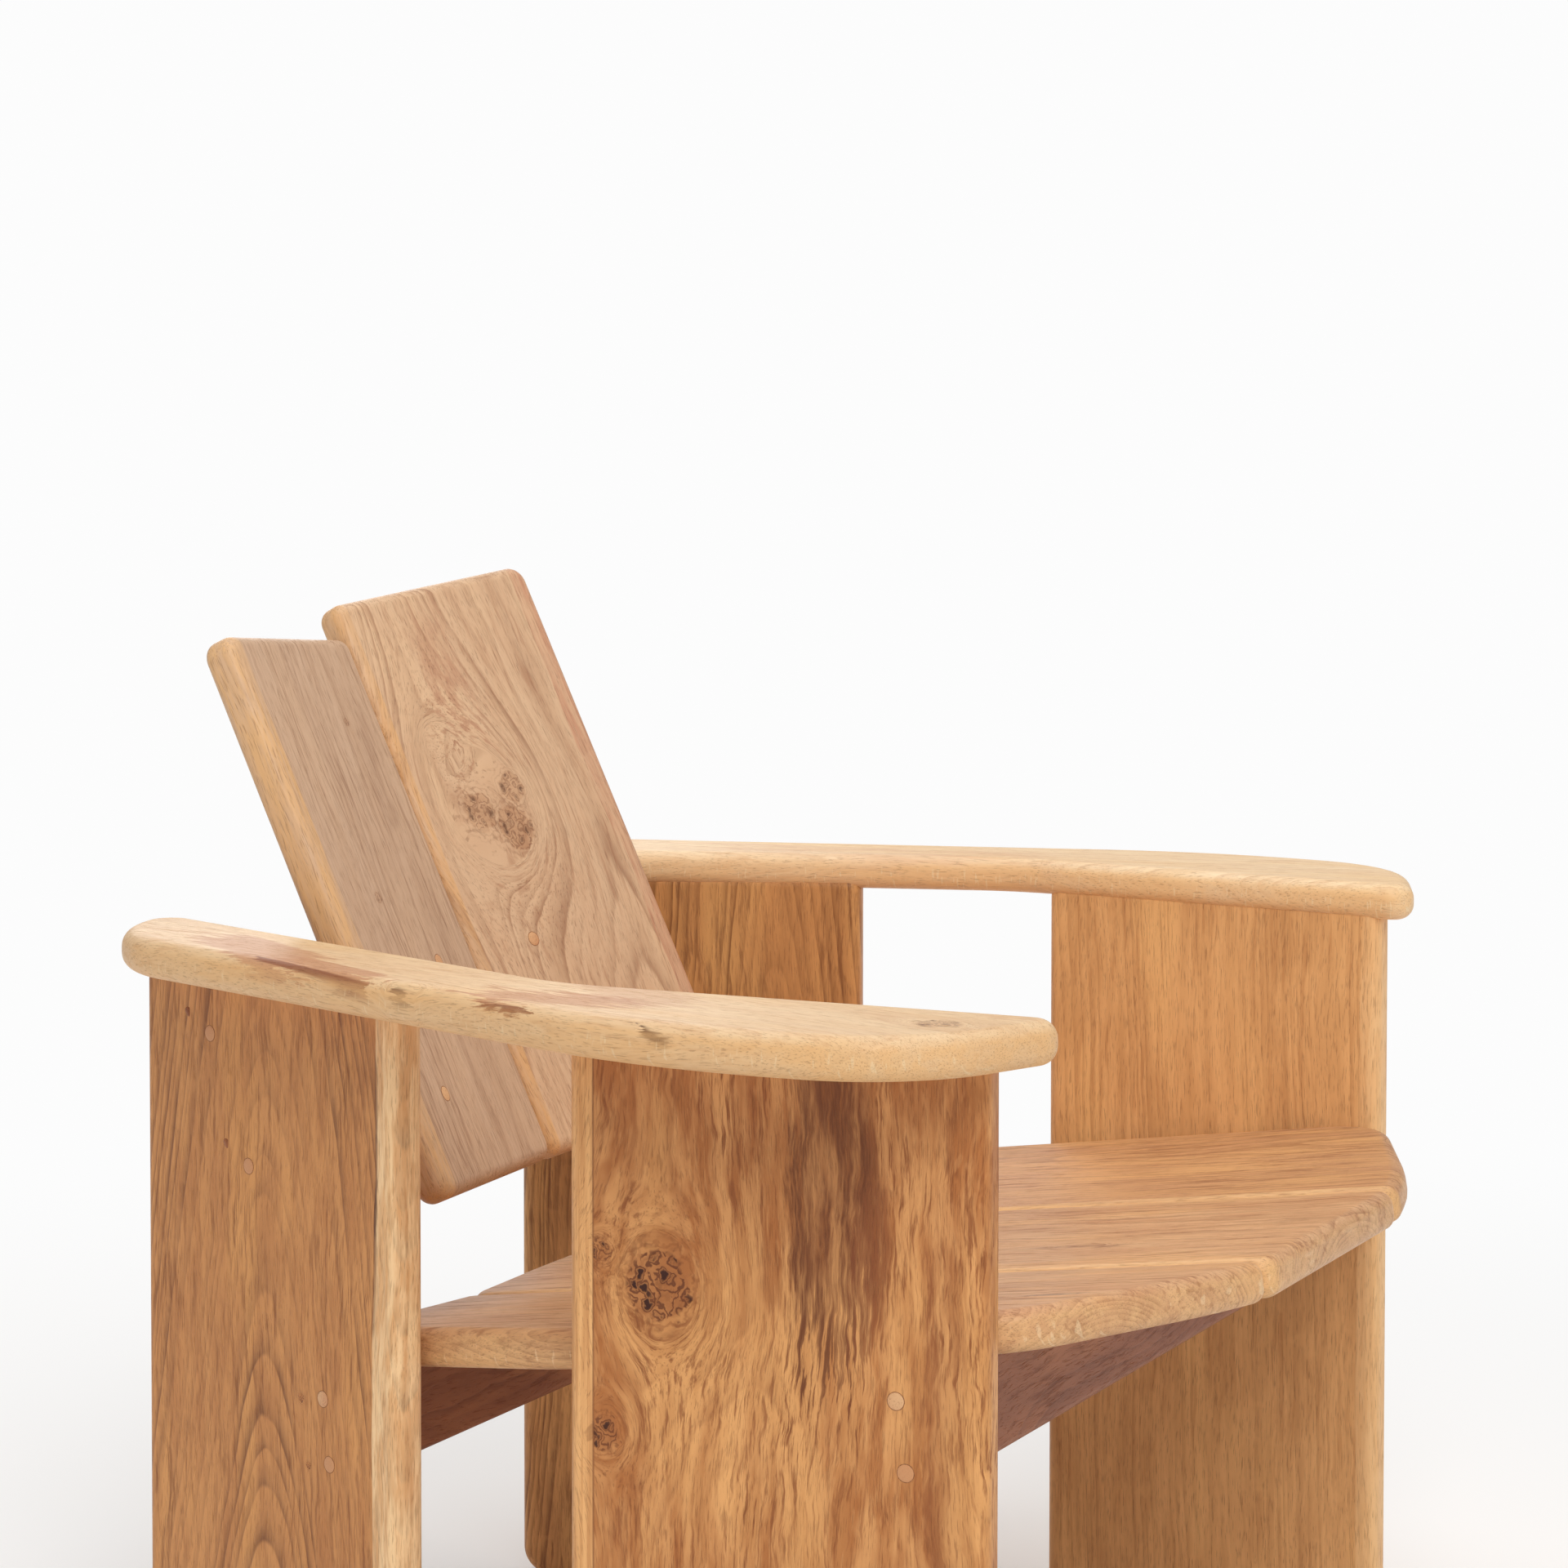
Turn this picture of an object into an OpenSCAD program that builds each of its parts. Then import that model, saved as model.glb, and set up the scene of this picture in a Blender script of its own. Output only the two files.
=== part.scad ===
// Oak armchair: two bow-shaped armrests on four broad plank legs, a dished
// three-board seat on two aprons, and two back boards in a shallow V on two rails.
// Origin: on the floor, midway between the front and the rear legs.
// +Z is up, the chair faces -Y, and the sitter's left is +X.

/* [Boards] */
// Thickness of the legs, the seat, the aprons and the back boards
board_t = 25; // [20:1:32]
// Rounding of the long edges of the legs
leg_edge_r = 9; // [4:1:10]

/* [Legs] */
// Width of a leg plank
leg_w = 264; // [200:1:290]
// Height of the legs up to the armrest
leg_h = 541; // [480:1:600]
// Distance from the centre of the chair to the centre of a front leg
front_leg_x = 349; // [335:1:365]
// Distance from the centre of the chair to the centre of a rear leg
rear_leg_x = 276.5; // [270:0.5:285]
// Distance of the leg centres in front of and behind the origin
leg_y = 199.5; // [190:0.5:210]
// Angle by which the front legs toe in towards the front
front_toe = 3.6; // [2:0.1:5]
// Angle by which the rear legs toe in towards the rear
rear_toe = 18; // [16:0.5:20]
// Rounding of the bottom corners of a leg
foot_r = 22; // [10:1:40]

/* [Armrests] */
// Thickness of an armrest
arm_t = 26; // [22:1:32]
// Length of a stub tenon along the leg
tenon_l = 70; // [40:1:90]
// Thickness of a stub tenon
tenon_t = 10; // [8:1:14]
// Height of a stub tenon
tenon_h = 14; // [8:1:18]
// Distance of the tenons from the middle of the leg
tenon_offset = 62; // [50:1:80]
// How far the right armrest is set forward on its legs
right_arm_set = 6; // [-10:1:10]
// How far the left armrest is set forward on its legs
left_arm_set = -9; // [-10:1:10]

/* [Seat] */
// Height of the seat top above the origin
seat_h = 332.5; // [300:0.5:380]
// Angle by which the seat slopes down towards the rear
seat_tilt = 8.5; // [4:0.5:12]
// Width of the middle seat board
seat_mid_w = 238; // [200:1:260]
// Angle by which the two outer seat boards are canted up
seat_cant = 3.9; // [0:0.1:6]
// How far the seat reaches forward of the origin, along the seat
seat_front = 418; // [380:1:440]
// How far the seat reaches behind the origin, along the seat
seat_rear = 166; // [166:1:180]

/* [Aprons] */
// Depth of the aprons under the middle seat board
apron_h = 57; // [45:1:70]
// Distance of the front apron forward of the origin, along the seat
front_apron_v = 276; // [260:1:300]
// Distance of the rear apron behind the origin, along the seat
rear_apron_v = 153; // [140:1:153]

/* [Back] */
// Angle by which the back leans back
back_lean = 25.7; // [20:0.1:28]
// Angle of each back board to the width of the chair
back_vee = 9.5; // [6:0.1:12]
// Width of the right back board
right_board_w = 190; // [170:1:200]
// Width of the left back board
left_board_w = 215; // [195:1:225]
// Length of the right back board at the fold
right_board_l = 396; // [350:1:450]
// Length of the left back board at the fold
left_board_l = 422; // [350:1:470]
// Distance of the lower rail above the bottom of the boards
lower_rail_s = 60; // [50:1:80]
// Distance of the upper rail above the bottom of the boards
upper_rail_s = 150; // [130:1:160]
// Height of the back rails
rail_h = 50; // [30:1:60]
// Thickness of the back rails at the middle
rail_t = 44; // [38:1:50]

/* [Pegs] */
// Diameter of the pegs
peg_d = 10; // [8:1:12]
// Length of a peg beyond the inner face of the leg
peg_reach = 42; // [30:1:45]
// Diameter of the hidden seat dowels
dowel_d = 8; // [6:1:10]

/* [Hidden] */

$fn = 48;
far = 1000;
half_mid = seat_mid_w / 2;
arc_step = 8;

// armrest outline of the left armrest: [x, y, corner radius], counted from the front tip
arm_outline = [
    [322, -369, 16], [443, -323, 110], [465, -165, 400],
    [307, 327, 105], [204, 351, 22], [342.5, -48, 150]
];

// outline of the middle seat board, seen from above: [x, y, corner radius]
mid_outline = [
    [-half_mid, -seat_front, 12], [half_mid, -seat_front, 12],
    [half_mid, seat_rear - 6, 16], [0, seat_rear, 900], [-half_mid, seat_rear - 6, 16]
];

// outline of an outer seat board, measured from its joint with the middle board
side_outline = [
    [0, -seat_front, 10], [60, -seat_front + 12, 300], [209, -342, 62],
    [209, -30, 150], [155, seat_rear - 10, 32], [0, seat_rear - 8, 12]
];

// heights of the apron pegs above the seat top, along the normal of the seat
apron_bottom = -board_t - apron_h;
apron_peg_w = [apron_bottom + 13, apron_bottom + 54];
rail_s = [lower_rail_s, upper_rail_s];

// where the front faces of the back boards meet, at the bottom of the boards;
// the fold is off centre because the boards are not equally wide
fold_x = (right_board_w - left_board_w) * 0.56;
fold_y = 149.5;
fold_z = 386.5;
// distance of the back of the boards behind the fold, at the fold
rail_front = board_t / cos(back_vee);
// the V on the front of a rail stops this far inside the outer edge of a back board
rail_inset = 24;
rail_peg_y = rail_front + rail_t / 2 + 2;
// pegs of the back boards: [distance from the fold, distance above the bottom]
back_pegs = [[136, lower_rail_s], [64, upper_rail_s]];
back_peg_l = board_t + 28;

// dowels of the seat: distance from the joint, in an outer board and in the middle board
side_dowel_x = [40, 95];
mid_dowel_x = [-60, 60];
apron_v = [-front_apron_v, rear_apron_v];
dowel_up = 12;
dowel_down = 28;

function unit(a) = a / norm(a);

// one corner of an outline as an arc from tangent point to tangent point
function corner_arc(before, at, after, r) =
    let(
        a = unit(before - at), b = unit(after - at),
        half = acos(a * b) / 2,
        centre = at + unit(a + b) * r / sin(half),
        start = at + a * r / tan(half) - centre,
        turn = (a.x * b.y - a.y * b.x > 0 ? -1 : 1) * (180 - 2 * half),
        steps = max(2, ceil(abs(turn) / arc_step))
    )
    [for (i = [0:steps])
        let(t = turn * i / steps)
        centre + [start.x * cos(t) - start.y * sin(t), start.x * sin(t) + start.y * cos(t)]];

// an outline with all of its corners rounded
function rounded(path) =
    let(n = len(path), flat = [for (p = path) [p.x, p.y]])
    [for (i = [0:n - 1])
        each corner_arc(flat[(i + n - 1) % n], flat[i], flat[(i + 1) % n], path[i].z)];

// 2D rectangle with rounded corners, centred
module round_rect(w, h, r) {
    square([w - 2 * r, h], center = true);
    square([w, h - 2 * r], center = true);
    for (x = [-1, 1], y = [-1, 1])
        translate([x * (w / 2 - r), y * (h / 2 - r)]) circle(r);
}

// the right-hand side of the chair is the mirror image of the left
module side(right) {
    if (right) mirror([1, 0, 0]) children();
    else children();
}

// frames that the sub-parts are drawn in
module front_leg_frame() {
    translate([front_leg_x, -leg_y, 0]) rotate([0, 0, -front_toe]) children();
}

module rear_leg_frame() {
    translate([rear_leg_x, leg_y, 0]) rotate([0, 0, rear_toe]) children();
}

module seat_frame() {
    translate([0, 0, seat_h]) rotate([-seat_tilt, 0, 0]) children();
}

module side_board_frame() {
    seat_frame() translate([half_mid, 0, 0]) rotate([0, -seat_cant, 0]) children();
}

module back_frame() {
    translate([fold_x, fold_y, fold_z]) rotate([-back_lean, 0, 0]) children();
}

module back_board_frame(right) {
    back_frame() side(right) rotate([0, 0, -back_vee]) children();
}

// everything beyond the inner face of a leg, in the frame of the leg
module beyond_inner_face() {
    translate([-board_t / 2, -far / 2, -far / 4]) cube([far, far, far * 1.5]);
}

// everything inside the outer face of a leg, in the frame of the leg
module inside_outer_face() {
    translate([board_t / 2 - far, -far / 2, -far / 4]) cube([far, far, far * 1.5]);
}

// the round rods that pegs and their bores are made of, along the width of the chair
module apron_rods(v, inner_x) {
    seat_frame() for (w = apron_peg_w)
        translate([inner_x, v, w]) rotate([0, 90, 0]) cylinder(d = peg_d, h = 200);
}

module rail_rods(inner_x) {
    back_frame() for (s = rail_s)
        translate([inner_x - fold_x, rail_peg_y, s]) rotate([0, 90, 0]) cylinder(d = peg_d, h = 200);
}

// where the pegs end inside the aprons and the rails
front_apron_end = front_leg_x - board_t / 2 - 6;
rear_apron_end = rear_leg_x - board_t / 2 + 18;
front_peg_x = front_apron_end - peg_reach;
rear_peg_x = rear_apron_end - peg_reach;
rail_peg_x = 212;

module leg_blank() {
    intersection() {
        linear_extrude(leg_h) round_rect(board_t, leg_w, leg_edge_r);
        rotate([90, 0, 90]) linear_extrude(far, center = true) union() {
            translate([-leg_w / 2, foot_r]) square([leg_w, leg_h]);
            translate([-leg_w / 2 + foot_r, 0]) square([leg_w - 2 * foot_r, leg_h]);
            for (y = [-1, 1]) translate([y * (leg_w / 2 - foot_r), foot_r]) circle(foot_r);
        }
    }
}

module leg_tenons() {
    for (y = [-1, 1])
        translate([-tenon_t / 2, y * tenon_offset - tenon_l / 2, leg_h - 2])
            cube([tenon_t, tenon_l, tenon_h + 2]);
}

module front_leg() {
    color("peru") difference() {
        front_leg_frame() union() {
            leg_blank();
            leg_tenons();
        }
        apron_rods(-front_apron_v, front_peg_x);
    }
}

module rear_leg() {
    color("chocolate") difference() {
        rear_leg_frame() union() {
            leg_blank();
            leg_tenons();
        }
        apron_rods(rear_apron_v, rear_peg_x);
        rail_rods(rail_peg_x);
    }
}

module front_leg_pegs() {
    color("wheat") intersection() {
        apron_rods(-front_apron_v, front_peg_x);
        front_leg_frame() inside_outer_face();
    }
}

module rear_leg_pegs() {
    color("wheat") intersection() {
        union() {
            apron_rods(rear_apron_v, rear_peg_x);
            rail_rods(rail_peg_x);
        }
        rear_leg_frame() inside_outer_face();
    }
}

module armrest(set) {
    color("burlywood") difference() {
        translate([0, -set, leg_h]) linear_extrude(arm_t) polygon(rounded(arm_outline));
        front_leg_frame() leg_tenons();
        rear_leg_frame() leg_tenons();
    }
}

// dowels between one seat board and both aprons, in the frame of that board
module board_dowels(xs) {
    for (x = xs, v = apron_v)
        translate([x, v, -board_t - dowel_down]) cylinder(d = dowel_d, h = dowel_down + dowel_up);
}

module seat_board_side() {
    color("tan") side_board_frame() difference() {
        translate([0, 0, -board_t]) linear_extrude(board_t) polygon(rounded(side_outline));
        board_dowels(side_dowel_x);
    }
}

module seat_board_middle() {
    color("burlywood") seat_frame() difference() {
        translate([0, 0, -board_t]) linear_extrude(board_t) polygon(rounded(mid_outline));
        board_dowels(mid_dowel_x);
    }
}

module seat_dowels() {
    color("wheat") {
        seat_frame() board_dowels(mid_dowel_x);
        for (right = [false, true]) side(right) side_board_frame() board_dowels(side_dowel_x);
    }
}

// top edge of an apron follows the undersides of the three seat boards
module apron_blank(v) {
    knee = half_mid + board_t * tan(seat_cant / 2);
    reach = 380;
    rise = (reach - knee) * tan(seat_cant);
    seat_frame() translate([0, v + board_t / 2, 0]) rotate([90, 0, 0])
        linear_extrude(board_t) polygon([
            [-reach, apron_bottom], [reach, apron_bottom], [reach, -board_t + rise],
            [knee, -board_t], [-knee, -board_t], [-reach, -board_t + rise]
        ]);
}

module apron_dowel_bores() {
    seat_frame() board_dowels(mid_dowel_x);
    for (right = [false, true]) side(right) side_board_frame() board_dowels(side_dowel_x);
}

module front_apron() {
    color("sienna") difference() {
        apron_blank(-front_apron_v);
        for (right = [false, true]) side(right) {
            front_leg_frame() beyond_inner_face();
            apron_rods(-front_apron_v, front_peg_x);
        }
        apron_dowel_bores();
    }
}

module rear_apron() {
    color("sienna") difference() {
        apron_blank(rear_apron_v);
        for (right = [false, true]) side(right) {
            rear_leg_frame() beyond_inner_face();
            apron_rods(rear_apron_v, rear_peg_x);
        }
        apron_dowel_bores();
    }
}

// a back board in its own plane: [across, up, corner radius]
function board_face(w, l, outer_drop, outer_rise) = [
    [0, 0, 12], [w, -outer_drop, 14], [w, l + outer_rise, 14], [0, l, 8]
];

module back_board(right, face) {
    back_board_frame(right) difference() {
        translate([0, board_t, 0]) rotate([90, 0, 0]) linear_extrude(board_t) polygon(rounded(face));
        back_board_rods();
    }
}

module back_board_rods() {
    for (p = back_pegs)
        translate([p.x, 0, p.y]) rotate([-90, 0, 0]) cylinder(d = peg_d, h = back_peg_l);
}

module back_board_right() {
    color("tan") back_board(true, board_face(right_board_w, right_board_l, 7, 0));
}

module back_board_left() {
    color("rosybrown") back_board(false, board_face(left_board_w, left_board_l, 0, 7));
}

module back_board_pegs() {
    color("wheat") for (right = [false, true]) back_board_frame(right) back_board_rods();
}

// a straight rail whose front is cut to the V of the back boards
module back_rail(s) {
    reach = 320;
    right_x = right_board_w - rail_inset;
    left_x = left_board_w - rail_inset;
    color("sienna") difference() {
        back_frame() translate([0, 0, s - rail_h / 2]) linear_extrude(rail_h) polygon([
            [-reach, rail_front], [-right_x, rail_front], [-right_x, rail_front - right_x * tan(back_vee)],
            [0, rail_front], [left_x, rail_front - left_x * tan(back_vee)], [left_x, rail_front],
            [reach, rail_front], [reach, rail_front + rail_t], [-reach, rail_front + rail_t]
        ]);
        for (right = [false, true]) {
            side(right) {
                rear_leg_frame() beyond_inner_face();
                rail_rods(rail_peg_x);
            }
            back_board_frame(right) back_board_rods();
        }
    }
}

side(true) armrest(right_arm_set);  // armrest_right
side(false) armrest(left_arm_set);  // armrest_left
side(true) front_leg();  // front_leg_right
side(false) front_leg();  // front_leg_left
side(true) rear_leg();  // rear_leg_right
side(false) rear_leg();  // rear_leg_left
side(true) front_leg_pegs();  // front_leg_pegs_right
side(false) front_leg_pegs();  // front_leg_pegs_left
side(true) rear_leg_pegs();  // rear_leg_pegs_right
side(false) rear_leg_pegs();  // rear_leg_pegs_left
side(true) seat_board_side();  // seat_board_right
seat_board_middle();
side(false) seat_board_side();  // seat_board_left
seat_dowels();
front_apron();
rear_apron();
back_board_right();
back_board_left();
back_board_pegs();
back_rail(lower_rail_s);  // back_rail_lower
back_rail(upper_rail_s);  // back_rail_upper
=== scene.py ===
"""Oak armchair: boards with soft arrises, oak grain cut from a log for each board, flush pegs."""
import math

import bpy
from mathutils import Matrix, Vector


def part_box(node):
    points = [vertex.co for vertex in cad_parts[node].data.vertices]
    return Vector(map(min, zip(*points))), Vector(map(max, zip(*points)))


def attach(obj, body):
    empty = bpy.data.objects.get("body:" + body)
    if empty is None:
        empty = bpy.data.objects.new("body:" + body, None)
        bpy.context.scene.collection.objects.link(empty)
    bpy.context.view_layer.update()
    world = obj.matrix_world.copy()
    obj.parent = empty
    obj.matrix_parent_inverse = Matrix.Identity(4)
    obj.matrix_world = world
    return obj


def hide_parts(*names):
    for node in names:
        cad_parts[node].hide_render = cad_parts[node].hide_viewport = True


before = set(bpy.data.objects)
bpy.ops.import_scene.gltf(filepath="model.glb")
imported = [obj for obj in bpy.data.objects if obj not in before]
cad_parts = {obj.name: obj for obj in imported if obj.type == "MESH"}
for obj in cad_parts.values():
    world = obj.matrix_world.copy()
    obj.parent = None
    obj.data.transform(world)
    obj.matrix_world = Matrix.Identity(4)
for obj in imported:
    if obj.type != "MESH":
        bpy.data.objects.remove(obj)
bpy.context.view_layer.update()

# Sizes and places are in millimetres and degrees, as in the CAD; MM turns them into metres.
MM = 0.001
SIGN = {"right": -1.0, "left": 1.0}

# boards: thickness, arris radii, the flat rim beside an arris, steps in an arris, and how far an end or a
# tenon is let into its neighbour
BOARD, ARM_T = 25.0, 26.0
EDGE, ARM_EDGE, APRON_EDGE, RAIL_EDGE = 9.0, 11.0, 5.0, 4.0
LAND, ARC, TUCK = 0.8, 9, 9.0

# legs: width, height and foot corner; then x (of the left one), y and toe angle of each pair
LEG_W, LEG_H, FOOT_R = 264.0, 541.0, 22.0
LEG_AT = {"front": (349.0, -199.5, -3.6), "rear": (276.5, 199.5, 18.0)}
ARM_SET = {"right": 6.0, "left": -9.0}  # how far forward each armrest sits

# seat: height above the origin, tilt, cant of the outer boards, half the middle board, reach each way
SEAT_H, SEAT_TILT, SEAT_CANT, HALF_MID = 332.5, 8.5, 3.9, 119.0
SEAT_FRONT, SEAT_REAR = 418.0, 166.0
APRON_BOTTOM = -82.0
APRON_AT = {"front": -276.0, "rear": 153.0}

# back: foot of its fold, lean, angle of the V, and the rails behind it by their height up the boards
FOLD = (-14.0, 149.5, 386.5)
LEAN, VEE = 25.7, 9.5
RAIL_AT = {"lower": 60.0, "upper": 150.0}
RAIL_H, RAIL_T, RAIL_INSET = 50.0, 44.0, 24.0
BACK_W = {"right": 190.0, "left": 215.0}
BACK_L = {"right": 396.0, "left": 422.0}

# pegs: radius, places in a back board (across, up), heights at an apron's end, and their small parts
PEG_R = 5.0
BACK_PEGS = ((136.0, 60.0), (64.0, 150.0))
APRON_PEGS = (APRON_BOTTOM + 13.0, APRON_BOTTOM + 54.0)
PEG_LENGTH, PEG_CROWN, BORE_GAP, LINE_RISE = 12.0, 0.45, 0.45, 0.08
PEG_SIDES, CROWN_RINGS = 40, 12


def srgb(r, g, b):
    """A display colour from 0 to 255 as the linear colour that shaders use."""
    def linear(c):
        c /= 255.0
        return c / 12.92 if c <= 0.04045 else ((c + 0.055) / 1.055) ** 2.4
    return (linear(r), linear(g), linear(b), 1.0)


def grey(value):
    return (value, value, value, 1.0)


def add(name, data):
    """A new object in the scene, at the origin."""
    made = bpy.data.objects.new(name, data)
    bpy.context.scene.collection.objects.link(made)
    return made


# ---------------------------------------------------------------- places of the boards

def place(origin, along, normal):
    """A board's own frame in millimetres: X across the grain, Y along it, Z out of its show face."""
    y, z = Vector(along).normalized(), Vector(normal).normalized()
    x = y.cross(z)
    axes = Matrix((x, y, z)).transposed().to_4x4()
    return Matrix.Translation(Vector(origin)) @ axes


def turn(angle, axis):
    return Matrix.Rotation(math.radians(angle), 4, axis)


def leg_place(end, side):
    x, y, toe = LEG_AT[end]
    normal = Vector((SIGN[side] * math.cos(math.radians(toe)), math.sin(math.radians(toe)), 0))
    return place(Vector((SIGN[side] * x, y, 0)) + normal * BOARD / 2, (0, 0, 1), normal)


def seat_place(board):
    flat = Matrix.Translation((0, 0, SEAT_H)) @ turn(-SEAT_TILT, "X")
    if board == "middle":
        return flat
    sign = SIGN[board]
    return flat @ Matrix.Translation((sign * HALF_MID, 0, 0)) @ turn(-SEAT_CANT * sign, "Y")


def apron_place(end):
    """The front of an apron, which hangs square to the middle seat board."""
    middle = Matrix.Translation((0, APRON_AT[end] - BOARD / 2, 0))
    return seat_place("middle") @ middle @ turn(90, "X")


def back_place(side=None):
    """The plane of the fold, or that of one back board."""
    flat = Matrix.Translation(FOLD) @ turn(-LEAN, "X")
    return flat if side is None else flat @ turn(-VEE * SIGN[side], "Z")


def rail_place(which):
    """The top of a back rail."""
    return back_place() @ Matrix.Translation((0, 0, RAIL_AT[which] + RAIL_H / 2))


# ---------------------------------------------------------------- board meshes

def rounded(path, step=4.0):
    """A closed outline, counter-clockwise, whose corners (x, y, radius) are turned into arcs."""
    loop = []
    for i, (x, y, r) in enumerate(path):
        here = Vector((x, y))
        a = (Vector(path[i - 1][:2]) - here).normalized()
        b = (Vector(path[(i + 1) % len(path)][:2]) - here).normalized()
        half = a.angle(b) / 2
        centre = here + (a + b).normalized() * r / math.sin(half)
        start = here + a * r / math.tan(half) - centre
        sweep = math.pi - 2 * half
        if a.x * b.y - a.y * b.x > 0:
            sweep = -sweep
        count = max(3, math.ceil(math.degrees(abs(sweep)) / step))
        for k in range(count + 1):
            t = sweep * k / count
            c, s = math.cos(t), math.sin(t)
            loop.append(centre + Vector((start.x * c - start.y * s, start.x * s + start.y * c)))
    return loop


def inset(loop, distance):
    """The outline moved inwards by a distance."""
    moved = []
    for i, here in enumerate(loop):
        a = (here - loop[i - 1]).normalized()
        b = (loop[(i + 1) % len(loop)] - here).normalized()
        n = (Vector((-a.y, a.x)) + Vector((-b.y, b.x))).normalized()
        cosine = max(0.5, n.dot(Vector((-a.y, a.x))))
        moved.append(here + n * distance / cosine)
    return moved


def mirrored(path):
    return [(-x, y, r) for x, y, r in reversed(path)]


def slab(name, path, thick, radius, frame_of, material):
    """A board with its show face at Z 0 and both arrises rounded, as a closed mesh."""
    loop = rounded(path)
    steps = [math.pi / 2 * k / ARC for k in range(ARC + 1)]
    rings = [(radius + LAND, 0.0)]
    rings += [(radius * (1 - math.sin(a)), -radius * (1 - math.cos(a))) for a in steps]
    rings += [(radius * (1 - math.cos(a)), -thick + radius * (1 - math.sin(a))) for a in steps]
    rings.append((radius + LAND, -thick))
    verts, faces, n = [], [], len(loop)
    for depth, z in rings:
        verts += [frame_of @ Vector((p.x, p.y, z)) * MM for p in inset(loop, depth)]
    for k in range(len(rings) - 1):
        for i in range(n):
            j = (i + 1) % n
            a, b = k * n, (k + 1) * n
            faces.append((a + i, b + i, b + j, a + j))
    faces.append(tuple(range(n)))
    faces.append(tuple(reversed(range((len(rings) - 1) * n, len(rings) * n))))
    mesh = bpy.data.meshes.new(name)
    mesh.from_pydata(verts, [], faces)
    mesh.materials.append(material)
    mesh.polygons.foreach_set("use_smooth", [True] * len(mesh.polygons))
    mesh.update()
    return add(name, mesh)


def settle(board, slot, *nodes):
    """The board rides on the chair and stands for its CAD nodes."""
    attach(board, "root")
    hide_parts(*nodes)
    return board


# ---------------------------------------------------------------- shader arithmetic

class Num:
    """A number in a shader that is written as plain arithmetic."""

    def __init__(self, tree, socket):
        self.tree, self.socket = tree, socket

    def op(self, kind, *others, clamp=False):
        node = self.tree.nodes.new("ShaderNodeMath")
        node.operation, node.use_clamp = kind, clamp
        for slot, value in zip(node.inputs, (self, *others)):
            feed(self.tree, value, slot)
        return Num(self.tree, node.outputs[0])

    def __add__(self, other):
        return self.op("ADD", other)

    def __sub__(self, other):
        return self.op("SUBTRACT", other)

    def __mul__(self, other):
        return self.op("MULTIPLY", other)

    def __truediv__(self, other):
        return self.op("DIVIDE", other)

    def smooth(self, low, high, to_low=0.0, to_high=1.0):
        """0 below low and 1 above high, eased between them; low may be the larger."""
        node = self.tree.nodes.new("ShaderNodeMapRange")
        node.interpolation_type = "SMOOTHSTEP"
        if low > high:
            low, high, to_low, to_high = high, low, to_high, to_low
        for slot, value in zip(node.inputs, (self, low, high, to_low, to_high)):
            feed(self.tree, value, slot)
        return Num(self.tree, node.outputs[0])


def feed(tree, value, slot):
    if isinstance(value, Num):
        tree.links.new(value.socket, slot)
    elif isinstance(value, bpy.types.NodeSocket):
        tree.links.new(value, slot)
    else:
        slot.default_value = value


def vector(tree, x, y, z):
    node = tree.nodes.new("ShaderNodeCombineXYZ")
    for slot, value in zip(node.inputs, (x, y, z)):
        feed(tree, value, slot)
    return node.outputs[0]


def noise(tree, x, y, z, detail=2.0, rough=0.5, split=False):
    """Smooth noise about 0.5; split gives two independent numbers."""
    node = tree.nodes.new("ShaderNodeTexNoise")
    feed(tree, vector(tree, x, y, z), node.inputs["Vector"])
    node.inputs["Scale"].default_value = 1.0
    node.inputs["Detail"].default_value = detail
    node.inputs["Roughness"].default_value = rough
    if not split:
        return Num(tree, node.outputs[0])
    parts = tree.nodes.new("ShaderNodeSeparateColor")
    tree.links.new(node.outputs[1], parts.inputs[0])
    return Num(tree, parts.outputs[0]), Num(tree, parts.outputs[1])


def mix(tree, share, low, high):
    """The colour low where the share is 0 and high where it is 1."""
    node = tree.nodes.new("ShaderNodeMix")
    node.data_type = "RGBA"
    feed(tree, share, node.inputs[0])
    feed(tree, low, node.inputs[6])
    feed(tree, high, node.inputs[7])
    return node.outputs[2]


def blank(name):
    """A new material with its node tree and its shader."""
    material = bpy.data.materials.new(name)
    material.use_nodes = True
    tree = material.node_tree
    return material, tree, tree.nodes["Principled BSDF"]


def relief(tree, shader, height, strength, depth):
    """Fine relief on a surface; its depth is in millimetres."""
    bump = tree.nodes.new("ShaderNodeBump")
    bump.inputs["Strength"].default_value = strength
    bump.inputs["Distance"].default_value = depth * MM
    feed(tree, height, bump.inputs["Height"])
    feed(tree, bump.outputs[0], shader.inputs["Normal"])


# ---------------------------------------------------------------- oak

PORE, SEAM, PALE_RAY = (112, 66, 38), (120, 72, 40), (244, 214, 170)
BURL_WOOD, BURL_RIM, BURL_PUPIL = (172, 112, 66), (104, 56, 30), (64, 30, 18)
SHINE = 0.28  # specular level of the oiled wood
SMOOTHEST = 0.42  # roughness between the pores

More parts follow.
